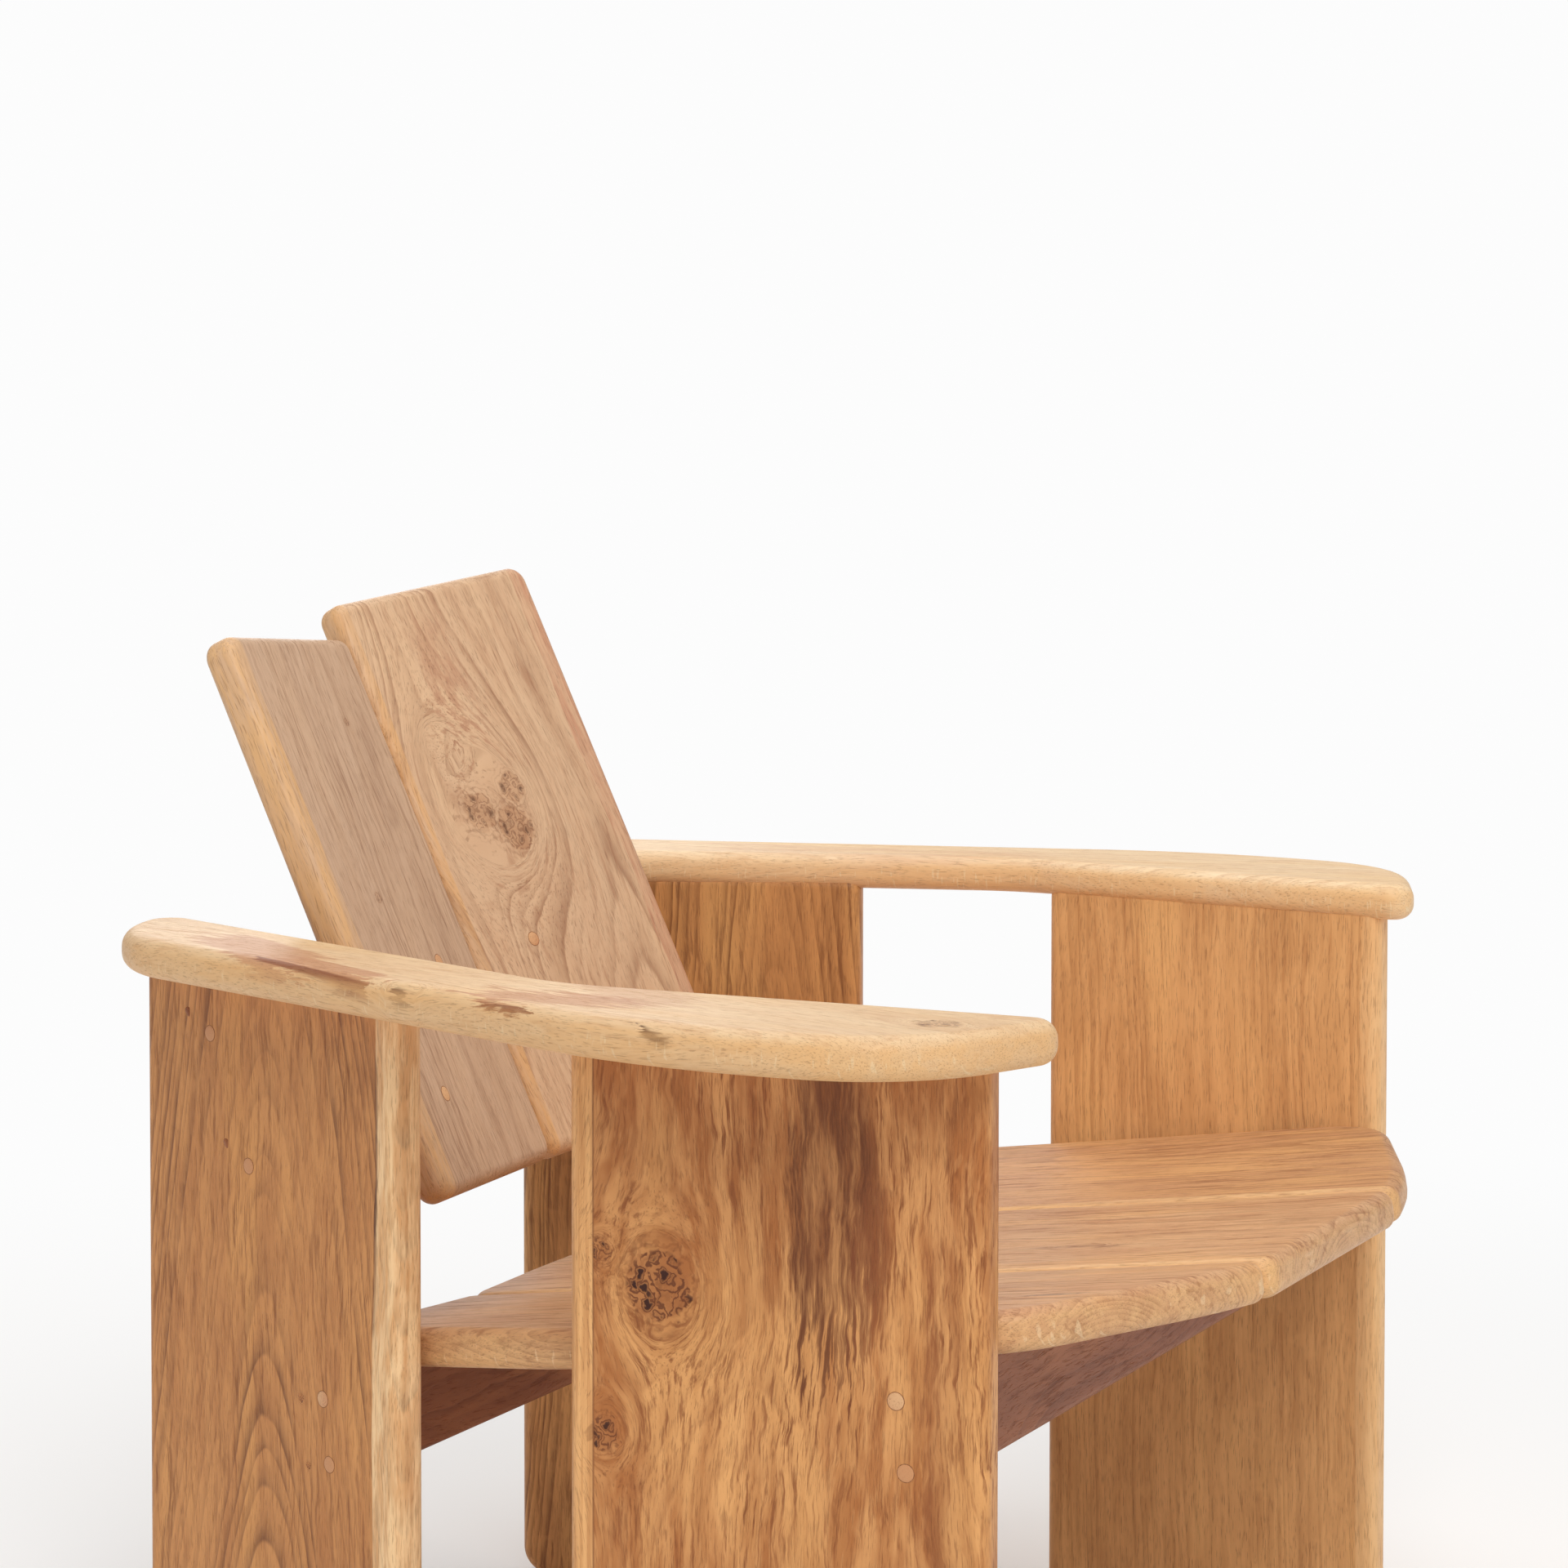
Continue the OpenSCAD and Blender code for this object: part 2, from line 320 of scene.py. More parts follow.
# What a board's oak may say: lengths in millimetres on the board, tints from 0 to 255, shares from 0 to 1.
#   pith    where the heart of the log lies, across the board and behind its face
#   knots   x, y, radius, stretch along the grain
#   bands   x, half width, softness, from y, to y, tint, share, raggedness
#   stains  from x, y, to x, y, half width, softness, tint, share, raggedness
#   strips  x of the glued seam, the side of it (-1 or 1), pale tint, deep tint
#   burls   x, y, radius, size of an eye, share
#   edge    tint and share of the painted light on the narrow faces, which turns them lighter and more golden
#   tone    how much of the red, green and blue of every tint is kept
PLAIN = dict(
    seed=0.0, pith=(0.0, -90.0), spacing=3.6, taper=0.03, wander=34.0, ripple=5.0,
    light=(222, 172, 118), tan=(203, 146, 94), ring=(150, 96, 56), stroke=(160, 104, 62),
    gold=(238, 184, 122), gold_share=0.45,
    ring_share=0.55, stroke_share=0.5, pore_share=0.35, ray_share=0.25, patch=0.5,
    stroke_size=(0.32, 0.020), curl=6.0, tone=(1.0, 1.0, 1.0),
    knots=(), bands=(), stains=(), strips=(), burls=(), ticks=0.0, edge=None,
)


def oak(name, where, **change):
    """Oak cut from a log: growth rings about a pith, long fibres, pores, rays, knots and bands."""
    look = dict(PLAIN, **change)
    material, tree, shader = blank(name)

    # the board's own frame, then the slow bends and small ripples of the log it was cut from
    texco = tree.nodes.new("ShaderNodeTexCoord")
    lay = tree.nodes.new("ShaderNodeMapping")
    lay.vector_type = "TEXTURE"
    lay.inputs["Location"].default_value = where.translation * MM
    lay.inputs["Rotation"].default_value = where.to_euler()
    lay.inputs["Scale"].default_value = (MM, MM, MM)
    tree.links.new(texco.outputs["Object"], lay.inputs[0])
    parts = tree.nodes.new("ShaderNodeSeparateXYZ")
    tree.links.new(lay.outputs[0], parts.inputs[0])
    x, y, z = (Num(tree, parts.outputs[i]) for i in range(3))
    seed = look["seed"]

    slow_x, slow_z = noise(tree, x * 0.006 + seed, y * 0.0024, z * 0.006, 1.0, split=True)
    fast_x, fast_z = noise(tree, x * 0.035 + seed, y * 0.012, z * 0.035, 2.0, split=True)
    across = x + (slow_x - 0.5) * look["wander"] + (fast_x - 0.5) * look["ripple"]
    depth = z + (slow_z - 0.5) * look["wander"] + (fast_z - 0.5) * look["ripple"]

    # each knot pushes the grain aside
    for kx, ky, kr, stretch in look["knots"]:
        dx = x - kx
        dy = (y - ky) / stretch
        apart = dx * dx + dy * dy
        push = (apart.op("MAXIMUM", kr * kr) / (kr * kr)).op("POWER", -0.85)
        across = across - dx * push
        depth = depth + push * kr * 0.8

    # growth rings about the pith, uneven in width, depth and length
    px = across - look["pith"][0]
    pz = depth - look["pith"][1]
    radius = (px * px + pz * pz).op("SQRT") + y * look["taper"]
    angle = pz.op("ARCTAN2", px)
    uneven = noise(tree, radius * 0.045 + seed, y * 0.0008, 3.0, 1.0)
    rings = radius / look["spacing"] + uneven * 5.0
    share = rings.op("FRACT")
    early = (share * -1.0 + 1.0).op("POWER", 2.2) * share.smooth(0.0, 0.12)
    broken = noise(tree, across * 0.06, y * 0.006 + seed, depth * 0.06, 2.0)
    grade = noise(tree, rings.op("FLOOR") * 0.61 + seed, 0.5, 0.5, 0.0)
    early = early * broken.smooth(0.3, 0.65, 0.3, 1.0) * grade.smooth(0.36, 0.6, 0.35, 1.0)

    # bent dark fibres, clouds, pores and rays
    wide, long = look["stroke_size"]
    curl_u, curl_v = noise(tree, x * 0.03, y * 0.03, z * 0.03 + seed, 2.0, split=True)
    bent_x = across + (curl_u - 0.5) * look["curl"]
    bent_y = y + (curl_v - 0.5) * look["curl"] * 2.0
    strokes = noise(tree, bent_x * wide + seed, bent_y * long, depth * wide, 4.0, 0.62)
    clump = noise(tree, x * 0.02 + seed, y * 0.008, 7.0, 2.0).smooth(0.36, 0.6, 0.35, 1.0)
    stroke = strokes.smooth(0.49, 0.66) * clump
    flame = noise(tree, bent_x * 0.075 + seed, bent_y * 0.012, depth * 0.07, 3.0, 0.6).smooth(0.36, 0.64)
    pores = noise(tree, across * 1.3, y * 0.07 + seed, depth * 1.3, 2.0, 0.6)
    pore = pores.smooth(0.54, 0.68)
    patches = noise(tree, x * 0.014 + seed, y * 0.004, z * 0.014, 3.0, 0.55)
    patch = (patches.smooth(0.36, 0.64) * 0.45 + flame * 0.75) * look["patch"]
    reach = abs(look["pith"][1])
    rays = noise(tree, angle * (reach * 0.55) + seed, y * 0.055, radius * 0.03, 2.0, 0.5)
    ray = rays.smooth(0.58, 0.68)

    def paint(tint):
        """A tint in this board's tone."""
        return tuple(c * t for c, t in zip(srgb(*tint), (*look["tone"], 1.0)))

    colour = mix(tree, patch, paint(look["light"]), paint(look["tan"]))
    glow = noise(tree, x * 0.022 + seed + 5.0, y * 0.0045, z * 0.02, 2.0).smooth(0.48, 0.68)
    colour = mix(tree, glow * look["gold_share"], colour, paint(look["gold"]))
    colour = mix(tree, early * look["ring_share"], colour, paint(look["ring"]))
    colour = mix(tree, stroke * look["stroke_share"], colour, paint(look["stroke"]))
    colour = mix(tree, ray * look["ray_share"], colour, paint(look["light"]))

    # bands along the grain, ragged at their sides and ends
    for at, half, soft, low, high, tint, amount, rag in look["bands"]:
        sway = (strokes - 0.5) * rag + (slow_x - 0.5) * 20.0 + (fast_x - 0.5) * rag
        reached = y + (strokes - 0.5) * rag * 9.0
        cover = (x + sway - at).op("ABSOLUTE").smooth(half + soft, half)
        cover = cover * reached.smooth(low - 14.0, low + 14.0)
        cover = cover * reached.smooth(high + 14.0, high - 14.0)
        cover = cover * strokes.smooth(0.3, 0.6, 0.5, 1.0)
        cover = cover * flame.smooth(0.1, 0.8, amount * 0.55, amount)
        colour = mix(tree, cover, colour, paint(tint))

    # heartwood patches and bark marks, on the show face only
    for x0, y0, x1, y1, half, soft, tint, amount, rag in look["stains"]:
        long_way = (x1 - x0) ** 2 + (y1 - y0) ** 2
        u, v = x - x0 + (strokes - 0.5) * rag, y - y0 + (strokes - 0.5) * rag * 5.0
        along = ((u * (x1 - x0) + v * (y1 - y0)) / long_way).op("MAXIMUM", 0.0).op("MINIMUM", 1.0)
        off_x, off_y = u - along * (x1 - x0), v - along * (y1 - y0)
        far = (off_x * off_x + off_y * off_y).op("SQRT")
        cover = far.smooth(half + soft, half) * z.smooth(-16.0, -10.0) * amount
        colour = mix(tree, cover, colour, paint(tint))

    # painted light: the narrow faces below the show face are turned lighter and more golden
    if look["edge"]:
        tint, amount = look["edge"]
        cover = z.smooth(-2.0, -8.0) * flame.smooth(0.0, 1.0, amount, amount * 0.5)
        colour = mix(tree, cover, colour, paint(tint))

    # burls: clustered eyes with dark rims and pupils, in wood that swirls about them
    dent = early * 0.5 + pore * 0.9 + stroke * 0.35
    if look["burls"]:
        curl_x, curl_y = noise(tree, x * 0.15, y * 0.15, seed, 2.0, split=True)
    for bx, by, br, cell, dark in look["burls"]:
        dx = x - bx + (curl_x - 0.5) * cell * 1.3
        dy = y - by + (curl_y - 0.5) * cell * 1.3
        far = (dx * dx + dy * dy).op("SQRT") / br
        eyes = tree.nodes.new("ShaderNodeTexVoronoi")
        feed(tree, vector(tree, dx / cell, dy / (cell * 1.25), seed), eyes.inputs["Vector"])
        eyes.inputs["Scale"].default_value = 1.0
        near = Num(tree, eyes.outputs[0])
        inside = (far + (curl_x - 0.5) * 0.5).smooth(1.0, 0.8)
        rim = (near * 19.0).op("SINE").smooth(-0.1, 0.9) * inside
        pupil = near.smooth(0.36, 0.2) * inside
        halo = far.smooth(1.8, 0.8) * inside.smooth(0.6, 0.0, 0.35, 1.0)
        swirl = (far * 24.0 + (fast_x - 0.5) * 11.0).op("SINE").smooth(0.1, 1.0) * halo
        colour = mix(tree, swirl * 0.55 * dark, colour, paint(look["ring"]))
        colour = mix(tree, inside * 0.5 * dark, colour, paint(BURL_WOOD))
        colour = mix(tree, rim * 0.85 * dark, colour, paint(BURL_RIM))
        colour = mix(tree, pupil * dark, colour, paint(BURL_PUPIL))
        dent = dent + pupil * 1.6 + rim * 0.4

    # straight glued strips, each with a fine seam
    for edge, direction, pale, deep in look["strips"]:
        cover = ((x - edge) * direction).smooth(-0.5, 0.5)
        fibre = noise(tree, x * 0.32 + 9.0, y * 0.009, z * 0.2 + seed, 3.0, 0.6)
        plain = mix(tree, fibre.smooth(0.35, 0.65), paint(pale), paint(deep))
        colour = mix(tree, cover, colour, plain)
        seam = (x - edge).op("ABSOLUTE").smooth(0.9, 0.3)
        colour = mix(tree, seam * 0.6, colour, paint(SEAM))

    # short pale rays across the narrow faces
    if look["ticks"]:
        lines = noise(tree, x * 0.03 + seed, y * 0.5, z * 0.09, 1.0)
        tick = lines.smooth(0.64, 0.7) * z.smooth(-7.0, -13.0)
        colour = mix(tree, tick * look["ticks"], colour, paint(PALE_RAY))

    colour = mix(tree, pore * look["pore_share"], colour, paint(PORE))
    feed(tree, colour, shader.inputs["Base Color"])
    shader.inputs["Specular IOR Level"].default_value = SHINE
    feed(tree, stroke * 0.08 + pore * 0.14 + SMOOTHEST, shader.inputs["Roughness"])
    relief(tree, shader, dent * -1.0, strength=0.45, depth=0.4)
    return material


# ---------------------------------------------------------------- the boards

ARM_PATH = [(322, -369, 16), (443, -323, 110), (465, -165, 400),
            (307, 327, 105), (204, 351, 22), (342.5, -48, 150)]
SIDE_PATH = [(0, -SEAT_FRONT, 11), (60, -SEAT_FRONT + 12, 300), (209, -342, 62),
             (209, -30, 150), (155, SEAT_REAR - 10, 32), (0, SEAT_REAR - 8, 12)]
MID_PATH = [(-HALF_MID, -SEAT_FRONT, 12), (HALF_MID, -SEAT_FRONT, 12),
            (HALF_MID, SEAT_REAR - 6, 16), (0, SEAT_REAR, 900), (-HALF_MID, SEAT_REAR - 6, 16)]


def arm_grain(side):
    along = Vector((SIGN[side] * 0.19, -0.98, 0))
    return place((SIGN[side] * 375, 0, LEG_H + ARM_T), along, (0, 0, 1))


def armrest(side, material):
    path = [(x, y - ARM_SET[side], r) for x, y, r in ARM_PATH]
    path = path if side == "left" else mirrored(path)
    top = Matrix.Translation((0, 0, LEG_H + ARM_T))
    board = slab("arm_" + side, path, ARM_T, ARM_EDGE, top, material)
    return settle(board, "arm_oak", "armrest_" + side)


def leg(end, side, material):
    half = LEG_W / 2
    top = LEG_H + TUCK
    path = [(-half, 0, FOOT_R), (half, 0, FOOT_R), (half, top, 11), (-half, top, 11)]
    name = "%s_leg_board_%s" % (end, side)
    board = slab(name, path, BOARD, EDGE, leg_place(end, side), material)
    return settle(board, end + "_leg_oak", "%s_leg_%s" % (end, side))


def seat_board(which, material):
    path = {"left": SIDE_PATH, "right": mirrored(SIDE_PATH), "middle": MID_PATH}[which]
    board = slab("seat_plank_" + which, path, BOARD, EDGE, seat_place(which), material)
    return settle(board, "seat_oak", "seat_board_" + which)


def back_board(side, material):
    w, l = BACK_W[side], BACK_L[side]
    drop, rise = (7, 0) if side == "right" else (0, 7)
    path = [(0, 0, 12), (w, -drop, 14), (w, l + rise, 14), (0, l, 11)]
    path = path if side == "left" else mirrored(path)
    face = back_place(side) @ turn(90, "X")
    board = slab("back_plank_" + side, path, BOARD, EDGE, face, material)
    return settle(board, "back_%s_oak" % side, "back_board_" + side)


def apron(end, material):
    """Its lower arrises are soft; its ends and its top are let into the legs and the seat."""
    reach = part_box(end + "_apron")[1][0] / MM + TUCK
    knee = HALF_MID + BOARD * math.tan(math.radians(SEAT_CANT / 2))
    rise = (reach - knee) * math.tan(math.radians(SEAT_CANT))
    top = -BOARD + TUCK
    path = [(-reach, APRON_BOTTOM, 8), (reach, APRON_BOTTOM, 8), (reach, top + rise, 8),
            (knee, top, 60), (-knee, top, 60), (-reach, top + rise, 8)]
    board = slab(end + "_apron_board", path, BOARD, APRON_EDGE, apron_place(end), material)
    return settle(board, "frame_oak", end + "_apron")


def rail(which, material):
    """A straight rail whose front follows the V of the two back boards."""
    front = BOARD / math.cos(math.radians(VEE))
    lean_in = math.tan(math.radians(VEE))
    right, left = BACK_W["right"] - RAIL_INSET, BACK_W["left"] - RAIL_INSET
    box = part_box("back_rail_" + which)
    low, high = box[0][0] / MM - FOLD[0] - TUCK, box[1][0] / MM - FOLD[0] + TUCK
    path = [(low, front, 6), (-right, front, 6), (-right, front - right * lean_in, 6),
            (0, front, 30), (left, front - left * lean_in, 6), (left, front, 6),
            (high, front, 6), (high, front + RAIL_T, 6), (low, front + RAIL_T, 6)]
    board = slab("rail_board_" + which, path, RAIL_H, RAIL_EDGE, rail_place(which), material)
    return settle(board, "frame_oak", "back_rail_" + which)


# ---------------------------------------------------------------- pegs

def peg_oak():
    """End grain of a peg: pale, with fine open pores.

    It is browner on the legs, except in the aprons' upper row.
    """
    material, tree, shader = blank("peg end grain")
    texco = tree.nodes.new("ShaderNodeTexCoord")
    parts = tree.nodes.new("ShaderNodeSeparateXYZ")
    tree.links.new(texco.outputs["Object"], parts.inputs[0])
    x, y, z = (Num(tree, parts.outputs[i]) / MM for i in range(3))
    fleck = noise(tree, x * 0.9, y * 0.9, z * 0.9, 3.0, 0.6)
    cloud = noise(tree, x * 0.03, y * 0.03, z * 0.03, 1.0)
    colour = mix(tree, cloud.smooth(0.35, 0.65), srgb(222, 174, 126), srgb(204, 144, 100))
    colour = mix(tree, fleck.smooth(0.5, 0.7) * 0.5, colour, srgb(160, 106, 68))
    on_legs = x.op("ABSOLUTE").smooth(255.0, 262.0)
    tilt = math.radians(SEAT_TILT)
    upper_row = z + y * math.tan(tilt) - (SEAT_H + APRON_PEGS[1] / math.cos(tilt))
    off_row = upper_row.op("ABSOLUTE").smooth(16.0, 22.0)
    colour = mix(tree, on_legs * off_row * 0.75, colour, srgb(198, 134, 86))
    feed(tree, colour, shader.inputs["Base Color"])
    shader.inputs["Roughness"].default_value = 0.5
    relief(tree, shader, fleck, strength=0.3, depth=0.3)
    return material


def glue_line():
    """The dark line between a peg and its bore."""
    material, tree, shader = blank("peg joint line")
    texco = tree.nodes.new("ShaderNodeTexCoord")
    grit = tree.nodes.new("ShaderNodeTexNoise")
    grit.inputs["Scale"].default_value = 900.0
    tree.links.new(texco.outputs["Object"], grit.inputs["Vector"])
    share = Num(tree, grit.outputs[0]).smooth(0.35, 0.65)
    feed(tree, mix(tree, share, srgb(*SEAM), srgb(166, 112, 68)), shader.inputs["Base Color"])
    shader.inputs["Roughness"].default_value = 0.75
    return material


def peg_tree(head, line):
    """A crowned peg in a dark bore line on each point, laid along the point's axis."""
    tree = bpy.data.node_groups.new("pegs on points", "GeometryNodeTree")
    face = tree.interface
    face.new_socket("Points", in_out="INPUT", socket_type="NodeSocketGeometry")
    for label, size in (("Peg radius", PEG_R), ("Peg length", PEG_LENGTH), ("Crown", PEG_CROWN),
                        ("Bore gap", BORE_GAP), ("Line rise", LINE_RISE)):
        socket = face.new_socket(label, in_out="INPUT", socket_type="NodeSocketFloat")
        socket.default_value = size * MM
    face.new_socket("Pegs", in_out="OUTPUT", socket_type="NodeSocketGeometry")
    new, link = tree.nodes.new, tree.links.new
    given, result = new("NodeGroupInput"), new("NodeGroupOutput")

    def calc(kind, a, b):
        node = new("ShaderNodeMath")
        node.operation = kind
        for slot, value in zip(node.inputs, (a, b)):
            if isinstance(value, float):
                slot.default_value = value
            else:
                link(value, slot)
        return node.outputs[0]

    def lifted(z):
        node = new("ShaderNodeCombineXYZ")
        link(z, node.inputs[2])
        return node.outputs[0]

    def rod(radius, top, material):
        node = new("GeometryNodeMeshCylinder")
        node.inputs["Vertices"].default_value = PEG_SIDES
        link(radius, node.inputs["Radius"])
        link(given.outputs["Peg length"], node.inputs["Depth"])
        move = new("GeometryNodeTransform")
        link(node.outputs[0], move.inputs["Geometry"])
        down = calc("SUBTRACT", top, calc("MULTIPLY", given.outputs["Peg length"], 0.5))
        link(lifted(down), move.inputs["Translation"])
        paint = new("GeometryNodeSetMaterial")
        paint.inputs["Material"].default_value = material
        link(move.outputs[0], paint.inputs["Geometry"])
        return paint.outputs[0]

    crown = new("GeometryNodeMeshUVSphere")
    crown.inputs["Segments"].default_value = PEG_SIDES
    crown.inputs["Rings"].default_value = CROWN_RINGS
    link(given.outputs["Peg radius"], crown.inputs["Radius"])
    flat = new("GeometryNodeTransform")
    link(crown.outputs[0], flat.inputs["Geometry"])
    squash = new("ShaderNodeCombineXYZ")
    squash.inputs[0].default_value = squash.inputs[1].default_value = 1.0
    link(calc("DIVIDE", given.outputs["Crown"], given.outputs["Peg radius"]), squash.inputs[2])
    link(squash.outputs[0], flat.inputs["Scale"])
    soft = new("GeometryNodeSetShadeSmooth")
    link(flat.outputs[0], soft.inputs[0])
    dome = new("GeometryNodeSetMaterial")
    dome.inputs["Material"].default_value = head
    link(soft.outputs[0], dome.inputs["Geometry"])

    shank = rod(given.outputs["Peg radius"], calc("MULTIPLY", given.outputs["Crown"], 0.3), head)
    bore = rod(calc("ADD", given.outputs["Peg radius"], given.outputs["Bore gap"]),
               given.outputs["Line rise"], line)
    whole = new("GeometryNodeJoinGeometry")
    for part in (dome.outputs[0], shank, bore):
        link(part, whole.inputs[0])
    axis = new("GeometryNodeInputNamedAttribute")
    axis.data_type = "FLOAT_VECTOR"
    axis.inputs["Name"].default_value = "axis"
    aim = new("FunctionNodeAlignRotationToVector")
    aim.axis = "Z"
    link(axis.outputs[0], aim.inputs["Vector"])
    spots = new("GeometryNodeMeshToPoints")
    link(given.outputs["Points"], spots.inputs["Mesh"])
    stand = new("GeometryNodeInstanceOnPoints")
    link(spots.outputs[0], stand.inputs["Points"])
    link(whole.outputs[0], stand.inputs["Instance"])
    link(aim.outputs[0], stand.inputs["Rotation"])
    real = new("GeometryNodeRealizeInstances")
    link(stand.outputs[0], real.inputs[0])
    link(real.outputs[0], result.inputs[0])
    return tree


def peg_heads():
    """Where each visible peg ends: a point on the board's face and the face's normal, in millimetres."""
    heads = []
    for side in SIGN:
        for end, v in APRON_AT.items():
            where = leg_place(end, side)
            face, normal = where.translation, where.col[2].to_3d()
            rods = [seat_place("middle") @ Vector((0, v, w)) for w in APRON_PEGS]
            if end == "rear":
                deep = BOARD / math.cos(math.radians(VEE)) + RAIL_T / 2 + 2
                rods += [back_place() @ Vector((0, deep, s)) for s in RAIL_AT.values()]
            for rod in rods:
                x = (normal.dot(face) - rod.y * normal.y - rod.z * normal.z) / normal.x
                heads.append((Vector((x, rod.y, rod.z)), normal))
        for across, up in BACK_PEGS:
            where = back_place(side)
            heads.append((where @ Vector((SIGN[side] * across, 0, up)), -where.col[1].to_3d()))
    return heads


def pegs(head, line):
    heads = peg_heads()
    mesh = bpy.data.meshes.new("peg points")
    mesh.from_pydata([spot * MM for spot, _ in heads], [], [])
    axis = mesh.attributes.new("axis", "FLOAT_VECTOR", "POINT")
    axis.data.foreach_set("vector", [c for _, normal in heads for c in normal])
    points = add("peg points", mesh)
    maker = points.modifiers.new("pegs", "NODES")
    maker.node_group = peg_tree(head, line)
    seen = points.evaluated_get(bpy.context.evaluated_depsgraph_get())
    solid = bpy.data.meshes.new_from_object(seen)
    points.modifiers.clear()
    bpy.data.objects.remove(points)
    solid.name = "pegs"
    return settle(add("pegs", solid), "peg_oak", "front_leg_pegs_right", "front_leg_pegs_left",
                  "rear_leg_pegs_right", "rear_leg_pegs_left", "back_board_pegs")


# ---------------------------------------------------------------- looks of the boards

def arm_oak(side):
    """Blond sapwood with pinkish brown heartwood on top and short pale rays on its edges, which are also
    lighter and golden: partly the wood's own colour, partly painted light.
    """
    # the edge tint is partly the oak's golden colour and partly painted light on the narrow faces
    look = dict(light=(240, 206, 164), tan=(228, 184, 136), ring=(200, 146, 100),
                stroke=(202, 148, 104), pith=(-40.0, -70.0), spacing=5.0, taper=0.02,
                gold=(236, 190, 132), edge=((236, 184, 126), 0.75),
                ring_share=0.5, stroke_share=0.4, pore_share=0.3, ray_share=0.35, ticks=0.45)
    if side == "right":
        heart, bark = (200, 142, 102), (140, 76, 42)
        look.update(seed=3.0, tone=(0.9, 0.91, 0.9), knots=((31, -22, 9, 1.5), (-55, 309, 12, 1.4)),
                    stains=((-34, -236, 0, -140, 20, 4, heart, 0.8, 34.0),
                            (-2, -150, 16, -62, 8, 3, heart, 0.85, 26.0),
                            (20, 52, 2, 118, 17, 4, heart, 0.8, 34.0),
                            (-18, 132, -62, 56, 15, 16, heart, 0.45, 30.0),
                            (6, -168, 26, -56, 1.3, 1.6, bark, 0.85, 12.0),
                            (37, 46, 40, 84, 0.4, 1.8, bark, 0.85, 17.0),
                            (43, 172, 46, 202, 0.5, 1.8, (84, 44, 28), 0.95, 11.0),
                            (29, -27, 31, -17, 0.6, 2.6, (96, 52, 32), 0.85, 9.0)),
                    burls=((-55, 309, 14, 5.0, 0.5),))
    else:
        look.update(seed=17.0, tone=(1.04, 1.12, 1.2),
                    bands=((30, 20, 12, -200, 60, (216, 164, 124), 0.5, 24.0),
                           (-84, 8, 8, 120, 330, (150, 98, 62), 0.6, 16.0)))
    return oak("arm oak " + side, arm_grain(side), **look)


def front_leg_oak(side):
    """Honey oak; the right one has burls, a dark streak and a straight glued strip."""
    if side == "right":
        look = dict(
            seed=5.0, light=(232, 178, 120), tan=(182, 120, 68), ring=(146, 88, 46),
            gold=(244, 192, 128), tone=(0.95, 0.85, 0.75),
            stroke=(146, 88, 48), stroke_share=0.85, stroke_size=(0.42, 0.03),
            curl=9.0, patch=1.0, spacing=4.2,
            pith=(-30.0, -120.0), ring_share=0.4, wander=46.0,
            knots=((-72, 397, 25, 1.25), (-110, 415, 9, 1.2), (-108, 307, 13, 1.2)),
            burls=((-72, 397, 23, 9.0, 1.0), (-110, 415, 8, 4.5, 0.8), (-108, 307, 12, 6.0, 0.9)),
            strips=((-114.5, -1.0, (244, 196, 138), (216, 164, 110)),),
            bands=((40, 16, 16, 366, 580, (106, 60, 34), 0.8, 34.0),
                   (62, 5, 9, 380, 470, (134, 74, 42), 0.6, 34.0),
                   (106, 4, 9, 230, 470, (150, 92, 54), 0.5, 30.0)))
    else:
        look = dict(
            seed=23.0, light=(228, 172, 116), tan=(206, 150, 98), ring=(150, 92, 52), patch=0.8,
            tone=(1.12, 1.18, 1.18),
            stroke=(178, 118, 72), ring_share=0.5, stroke_share=0.45, spacing=6.0,
            pith=(160.0, -60.0), stroke_size=(0.2, 0.008),
            bands=((-130, 11, 3, -80, 700, (234, 186, 134), 0.8, 3.0),))
    return oak("front leg oak " + side, leg_place("front", side), **look)


def rear_leg_oak(side):
    """Golden brown oak with nested arches; the right one has a pale sapwood edge."""
    look = dict(seed=31.0, light=(204, 152, 100), tan=(182, 128, 80), ring=(98, 56, 28),
                stroke=(120, 72, 40), pith=(0.0, -30.0), spacing=7.5, taper=0.2, wander=30.0,
                gold=(218, 166, 106), ring_share=1.0, stroke_share=0.6, patch=0.8)
    if side == "right":
        look.update(tone=(1.12, 0.98, 0.8),
                    bands=((126, 12, 1.5, -80, 700, (244, 220, 184), 0.9, 3.0),
                           (113.5, 0.9, 0.9, 350, 505, (84, 46, 26), 0.95, 4.0)),
                    burls=((37, 279, 3.5, 3.0, 0.9), (44, 237, 2.6, 2.4, 0.9)))
    else:
        look.update(seed=37.0, pith=(-70.0, -50.0), taper=0.08, light=(204, 146, 92), ring=(100, 54, 26),
                    tone=(1.12, 1.12, 1.06))
    return oak("rear leg oak " + side, leg_place("rear", side), **look)


